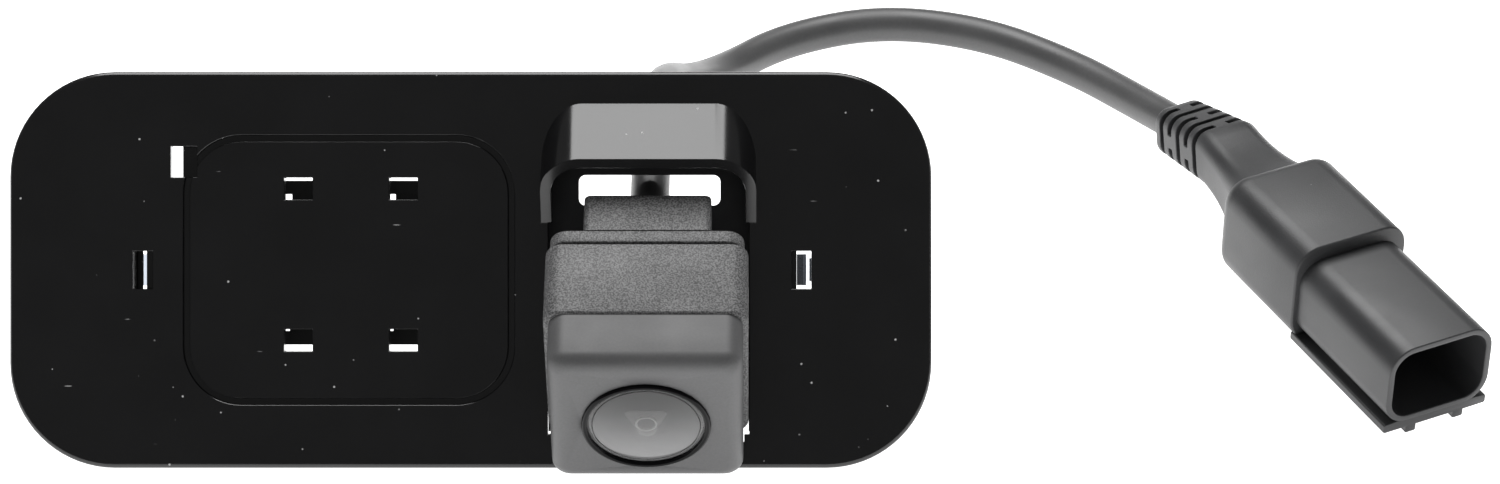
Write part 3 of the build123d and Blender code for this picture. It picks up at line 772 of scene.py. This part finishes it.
@dataclass
class LensStack:
    """Bezel ring, the front glass and what shows through it: a dark dish and pupil, and pale
    solids that paint the optics' highlight.
    """

    bezel_r: float = 8.0
    glass_r: float = 7.3
    dome_rim: float = -0.1
    dome_sag: float = 1.0
    line_r: float = 6.7
    highlight_z: float = -0.35
    bell: tuple[float, float, float, float] = (2.75, 1.1, 2.3, -2.7)   # half widths, heights of the painted highlight's bell
    pupil_r: float = 1.25

    def bezel(self) -> bpy.types.Object:
        """Build the glossy ring with a rounded lip."""
        mid, half = (self.bezel_r + self.glass_r) / 2, (self.bezel_r - self.glass_r) / 2
        lip = [(mid - half * math.cos(t), 0.2 + half * math.sin(t))
               for t in (math.pi * s / 8 for s in range(9))]
        return lathe("lens_ring", [(self.glass_r, -2.2), *lip, (self.bezel_r, -2.2)], CAMERA)

    def dome_z(self, r: float) -> float:
        """Return the height of the dome's surface at a radius."""
        return self.dome_rim + self.dome_sag * (1 - (r / self.glass_r) ** 2)

    def dome(self) -> bpy.types.Object:
        """Build the front glass: a shallow dome with a flat back."""
        crown = [(r, self.dome_z(r)) for r in (self.glass_r * s / 14 for s in range(15))]
        return lathe("lens_front_glass", [*crown, (self.glass_r, -0.2), (0, -0.2)], CAMERA)

    def bowl(self) -> bpy.types.Object:
        """Build the coated grey dish behind the front glass."""
        return lathe("lens_dish", [(0, -0.75), (self.bell[0], -0.7), (self.line_r, -0.3),
                                   (self.glass_r, -0.3), (self.glass_r, -2.0), (0, -2.0)],
                     CAMERA)

    def ring(self, name: str, r: float, tube: float, z: float) -> bpy.types.Object:
        """Build a fine ring about the lens axis."""
        outline = [(r + tube * math.cos(t), z + tube * math.sin(t))
                   for t in (math.tau * s / 10 for s in range(10))]
        return lathe(name, outline, CAMERA)

    def painted_highlight(self) -> bpy.types.Object:
        """Build the pale solid that paints the optic's highlight: broad and flat above, narrowing
        in a bell to a rounded foot.
        """
        wide, foot, top, low = self.bell
        side = []
        for step in range(25):
            share = step / 24
            y = top + (low - top) * share
            shoulder = math.sqrt(max(1 - max(1 - share / 0.16, 0) ** 2, 0))
            toe = math.sqrt(max(1 - max((share - 0.8) / 0.2, 0) ** 2, 0))
            flare = foot + (wide - foot) * (1 + math.cos(math.pi * share ** 0.8)) / 2
            side.append(((flare * 0.75 + flare * 0.25 * shoulder) * max(toe, 0.25), y))
        outline = side + [(-x, y) for x, y in reversed(side)]
        loops = [[Vector((x * grow, y * grow, z)) for x, y in outline]
                 for grow, z in ((1.0, self.highlight_z - 0.1), (1.0, self.highlight_z),
                                 (0.85, self.highlight_z + 0.06))]
        return skin("lens_highlight_bell", loops, CAMERA, sharp=60)

    def pupil(self) -> bpy.types.Object:
        """Build the dark pupil in the middle of the painted highlight."""
        z, r = self.highlight_z + 0.1, self.pupil_r - 0.25
        return lathe("lens_pupil", [(0, z + 0.03), (r, z), (r, z - 0.1), (0, z - 0.1)],
                     CAMERA, 32)

    def build(self, paint: Paintbox) -> None:
        """Build and coat the ring, the glass and what shows behind it."""
        paint.settle(self.bezel(), "bezel_gloss", "lens_bezel")
        paint.settle(self.dome(), "lens_glass", "front_element")
        paint.settle(self.bowl(), "barrel_black", "lens_barrel")
        # painted shade: a thin black ring on the glass stands for a groove's shadow
        paint.settle(self.ring("lens_groove_shade_line", self.line_r, 0.05, self.dome_z(self.line_r)),
                     "bezel_gloss")
        # painted highlight: a pale bell and a pale ring stand for the light seen in the optics
        # behind the glass
        paint.settle(self.painted_highlight(), "lens_inner_glass", "second_element")
        paint.settle(self.ring("lens_pupil_glint_ring", self.pupil_r, 0.16, self.highlight_z + 0.1),
                     "lens_inner_glass")
        paint.settle(self.pupil(), "stop_black", "aperture_stop")


# ------------------------------------------------------------------------------ connector
@dataclass
class Connector:
    """Strain relief, overmould and mating shroud at the lead's far end."""

    foot: float = 1.0
    rail: float = 1.3
    shroud_w: float = 15.6
    shroud_h: float = 11.7
    shroud_r: float = 3.6
    shroud_len: float = 21.7
    wall: float = 0.9
    cavity: float = 15.0
    grip_w: float = 17.0
    grip_top: float = 15.7
    grip_len: float = 19.5
    grip_r: float = 3.6
    axis_h: float = 8.3
    rings: int = 6
    pitch: float = 2.25
    ring_len: float = 1.3
    boot_size: tuple[float, float] = (8.0, 6.8)             # at the cable's end
    boot_growth: tuple[float, float] = (1.4, 1.2)           # from there to the last ring
    neck_from: tuple[float, float, float] = (9.4, 8.0, 2.3)     # width, height, corner
    neck_to: tuple[float, float, float] = (13.6, 12.2, 3.5)
    neck_overlap: float = 1.2     # how far the neck runs into the overmould
    neck_curve: float = 2.4       # power of the neck's flare; higher swells later

    @property
    def shroud_mid(self) -> float:
        """Height of the shroud's middle."""
        return self.foot + self.rail + self.shroud_h / 2 - 0.3

    @property
    def back(self) -> float:
        """Where the overmould ends at the lead's side."""
        return -self.shroud_len - self.grip_len

    def shell(self) -> bpy.types.Object:
        """Build the shroud with its base rail and guide ribs."""
        w, h, r, y = self.shroud_w, self.shroud_h, self.shroud_r, self.shroud_mid
        inner = (w - 2 * self.wall, h - 2 * self.wall, r - self.wall)
        lip = 0.18
        loops = [rounded(w, h, r, -self.shroud_len - 2, 0, y),
                 *edge_round(w, h, r, 0, lip, 1, 3, 0, y)]
        loops += [rounded(inner[0] + 2 * lip * (1 - math.sin(t)), inner[1] + 2 * lip * (
            1 - math.sin(t)), inner[2] + lip * (1 - math.sin(t)), -lip * (1 - math.cos(t)), 0, y)
                  for t in (math.pi / 2 * s / 3 for s in range(4))]
        loops.append(rounded(*inner, -self.cavity, 0, y))
        shell = skin("connector_shell", loops, CONNECTOR, sharp=50)
        parts = [self.block("rail", w, self.rail, 0.3, self.foot + self.rail / 2)]
        parts += [self.block("rib", 1.6, self.foot + 0.4, 0.25, self.foot / 2 + 0.2, x)
                  for x in (-3.6, 3.6)]
        return combined(shell, parts, "UNION")

    def block(self, name: str, w: float, h: float, r: float, y: float,
              x: float = 0.0) -> bpy.types.Object:
        """Build a bar along the shroud with rounded long edges and ends."""
        loops = [*edge_round(w, h, r, -self.shroud_len - 1, 0.15, -1, 2, x, y),
                 *edge_round(w, h, r, 0, 0.15, 1, 2, x, y)]
        return skin(name, loops, CONNECTOR)

    def grip(self) -> bpy.types.Object:
        """Build the overmould with its rounded back and crisp front step."""
        h = self.grip_top - self.foot
        y = self.foot + h / 2
        loops = [*edge_round(self.grip_w, h, self.grip_r, self.back, 2.4, -1, 8, 0, y),
                 *edge_round(self.grip_w, h, self.grip_r, -self.shroud_len, 0.3, 1, 3, 0, y)]
        return skin("connector_grip", loops, CONNECTOR)

    def boot_frame(self) -> Matrix:
        """Return the boot's frame: origin where the cable enters it, +Z along the cable."""
        end, before = Vector(ROUTE[-1]), Vector(ROUTE[-2])
        along = (end - before).normalized()
        across = Vector((0, 0, 1)).cross(along).normalized()
        return axes_at(end, across, along)

    def slot_cutter(self, z: float, w: float, h: float, upright: bool, side: int,
                    where: Matrix) -> bpy.types.Object:
        """Build the solid that cuts one C-shaped slot of the boot.

        Args:
            z: where the slot starts along the boot.
            w: the boot's width there.
            h: its height there.
            upright: True for slots on the left and right, with webs above and below.
            side: +1 or -1, the side that the slot opens to.
            where: the boot's frame.

        Returns:
            The cutter.
        """
        reach, deep, web = 6.0, 1.25, 1.0
        half_w, half_h = w / 2 - deep, h / 2 - deep
        if upright:
            outline = [(web, half_h), (half_w, half_h), (half_w, -half_h), (web, -half_h),
                       (web, -reach), (reach, -reach), (reach, reach), (web, reach)]
            outline = [(side * px, py) for px, py in outline]
        else:
            outline = [(half_w, web), (half_w, half_h), (-half_w, half_h), (-half_w, web),
                       (-reach, web), (-reach, reach), (reach, reach), (reach, web)]
            outline = [(px, side * py) for px, py in outline]
        gap = self.pitch - self.ring_len
        loops = [[Vector((px, py, z + dz)) for px, py in outline] for dz in (0, gap)]
        return skin("slot", loops, where)

    def neck(self, near: list[Vector], far: list[Vector], steps: int = 8) -> list[list[Vector]]:
        """Flare from one outline to another along a concave curve.

        Args:
            near: the outline at the boot, which is left out of the result.
            far: the outline inside the overmould, with as many points.
            steps: mesh steps along the neck.

        Returns:
            The loops after near, in order.
        """
        start, end = (sum(ring, Vector()) / len(ring) for ring in (near, far))
        loops = []
        for share in (step / steps for step in range(1, steps + 1)):
            centre, swell = start.lerp(end, share), share ** self.neck_curve
            loops.append([centre + (a - start).lerp(b - end, swell) for a, b in zip(near, far)])
        return loops

    def boot(self) -> bpy.types.Object:
        """Build the ribbed strain relief and the neck that joins it to the overmould."""
        where = self.boot_frame()
        length = (self.rings - 1) * self.pitch + self.ring_len
        to_boot = where.inverted() @ CONNECTOR
        near = rounded(*self.neck_from, length)
        far = [to_boot @ p for p in rounded(*self.neck_to, self.back + self.neck_overlap, 0,
                                            self.axis_h)]
        loops = [*edge_round(*self.boot_size, 2.0, 0, 0.4, -1, 3), near, *self.neck(near, far)]
        boot = skin("lead_boot", loops, where)
        cutters = []
        for i in range(self.rings - 1):
            grow = (i + 0.5) / (self.rings - 1)
            w, h = (size + growth * grow
                    for size, growth in zip(self.boot_size, self.boot_growth))
            for side in (-1, 1):
                cutters.append(self.slot_cutter(i * self.pitch + self.ring_len, w, h,
                                                i % 2 == 0, side, where))
        return softened(combined(boot, cutters, "DIFFERENCE"), 0.14)

    def build(self, paint: Paintbox) -> None:
        """Build and coat the connector."""
        paint.settle(self.boot(), "mould_pvc", "connector_boot")
        paint.settle(self.grip(), "mould_pvc", "connector_overmould")
        paint.settle(self.shell(), "shroud_nylon", "connector_shroud")


# ------------------------------------------------------------------------------ stage
@dataclass
class Studio:
    """Pale bench, soft lights and the camera that looks square at the plate."""

    distance: float = 520.0
    aim: tuple[float, float] = (35.38, 3.54)
    view_width: float = 189.87
    sensor: float = 36.0
    lights: list[tuple] = field(default_factory=lambda: [
        ("overhead", (0.0, 0.53, 0.97), 0.8, 14.5),
    ])
    glow: float = 1.35            # light that the bench gives of its own, like a lit table
    fill: float = 0.2             # strength of the world's light

    def bench(self) -> None:
        bm = bmesh.new()
        bmesh.ops.create_grid(bm, x_segments=1, y_segments=1, size=2.5)
        floor = finished("bench", bm)
        g = Graph("bench_white")
        g.put(Base_Color=g.blend(g.noise(60.0), (0.9, 0.9, 0.9), (0.92, 0.92, 0.92)),
              Roughness=0.8, Specular_IOR_Level=0.1,
              Emission_Color=(1.0, 1.0, 1.0), Emission_Strength=self.glow)
        floor.data.materials.append(g.material)

    def light(self) -> None:
        """Hang the soft lights and set the world's low fill."""
        for name, place, size, power in self.lights:
            lamp = bpy.data.lights.new(name, "AREA")
            lamp.shape, lamp.size, lamp.energy = "SQUARE", size, power
            obj = bpy.data.objects.new(name, lamp)
            obj.location = place
            aim = Vector((0.03, 0.03, 0.0)) - Vector(place)
            obj.rotation_euler = aim.to_track_quat("-Z", "Y").to_euler()
            bpy.context.scene.collection.objects.link(obj)
        world = bpy.data.worlds.new("studio")
        world.use_nodes = True
        background = world.node_tree.nodes["Background"]
        background.inputs["Color"].default_value = (1, 1, 1, 1)
        background.inputs["Strength"].default_value = self.fill
        bpy.context.scene.world = world
        bpy.context.scene.view_settings.view_transform = "Standard"

    def camera(self) -> None:
        """Set the camera square to the plate at the working distance."""
        data = bpy.data.cameras.new("camera")
        data.sensor_width = self.sensor
        data.lens = self.sensor * self.distance / self.view_width
        obj = bpy.data.objects.new("camera", data)
        obj.location = PLATE @ Vector((*self.aim, self.distance))
        obj.rotation_euler = PLATE.to_euler()
        bpy.context.scene.collection.objects.link(obj)
        bpy.context.scene.camera = obj

    def build(self) -> None:
        """Set up the bench, the lights and the camera."""
        self.bench()
        self.light()
        self.camera()
        LOG.info("studio ready")


def main() -> None:
    """Build the studio and every sub-assembly in order."""
    logging.basicConfig(level=logging.INFO, format="%(name)s: %(message)s")
    paint = Paintbox()
    paint.coat_nodes()
    Studio().build()
    CameraModule().build(paint)
    LensStack().build(paint)
    Connector().build(paint)
    Lead().build(paint)


if __name__ == "__main__":
    main()
